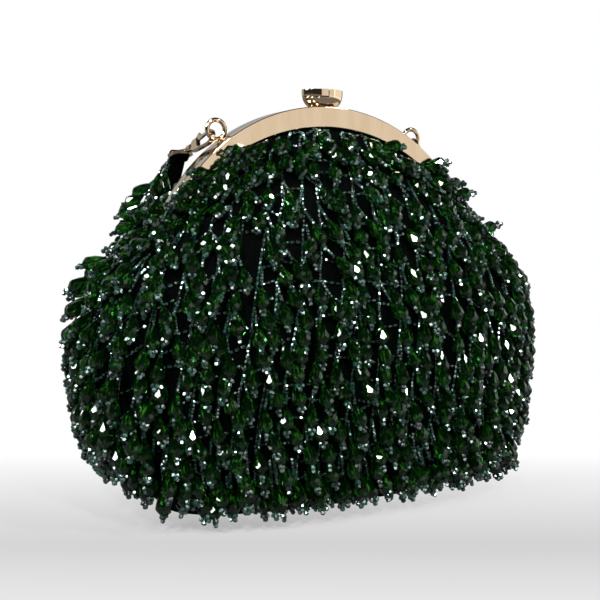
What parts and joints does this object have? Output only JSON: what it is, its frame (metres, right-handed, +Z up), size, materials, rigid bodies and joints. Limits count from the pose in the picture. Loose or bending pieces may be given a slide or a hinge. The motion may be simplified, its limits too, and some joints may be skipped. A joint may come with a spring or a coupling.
{
  "type": "beaded frame purse",
  "caption": "Soft evening purse on an arched kiss-lock frame, covered with a hanging fringe of glass drops, with a beaded clip-on handle.",
  "frame": {"origin": "middle of the flat base, on the surface that the bag stands on", "axes": "+X along the width, to the right seen from the front; -Y towards the front; +Z up"},
  "size_m": [0.2368, 0.1227, 0.1881],
  "materials": {
    "gold": "polished pale gold plate",
    "cloth": "black satin",
    "beads": "emerald glass beads"
  },
  "bodies": {
    "bag": {"pouch": "cloth", "fringe_tier_1": "beads", "fringe_tier_2": "beads", "fringe_tier_3": "beads", "fringe_tier_4": "beads", "fringe_tier_5": "beads", "fringe_tier_6": "beads", "fringe_tier_7": "beads", "frame_front": "gold", "frame_back": "gold", "left_hinge_rivet": "gold", "right_hinge_rivet": "gold", "kiss_lock_front": "gold", "kiss_lock_back": "gold", "left_claw": "gold", "left_swivel_eye": "gold", "right_claw": "gold", "right_swivel_eye": "gold", "handle_strap": "cloth", "handle_fringe": "beads"},
    "left_lever": {"left_lever": "gold"},
    "right_lever": {"right_lever": "gold"}
  },
  "joints": [
    {"name": "left_lever_hinge", "type": "hinge", "parent": "bag", "child": "left_lever", "pos_m": [-0.05774, 0.01426, 0.16326], "axis": [0.9159, 0.1395, -0.3764], "range_deg": [0, 25], "stiffness_Nm_per_rad": 0.01, "springref_deg": -8.59},
    {"name": "right_lever_hinge", "type": "hinge", "parent": "bag", "child": "right_lever", "pos_m": [0.05774, 0.01426, 0.16326], "axis": [0.9159, -0.1395, 0.3764], "range_deg": [0, 25], "stiffness_Nm_per_rad": 0.01, "springref_deg": -8.59}
  ]
}
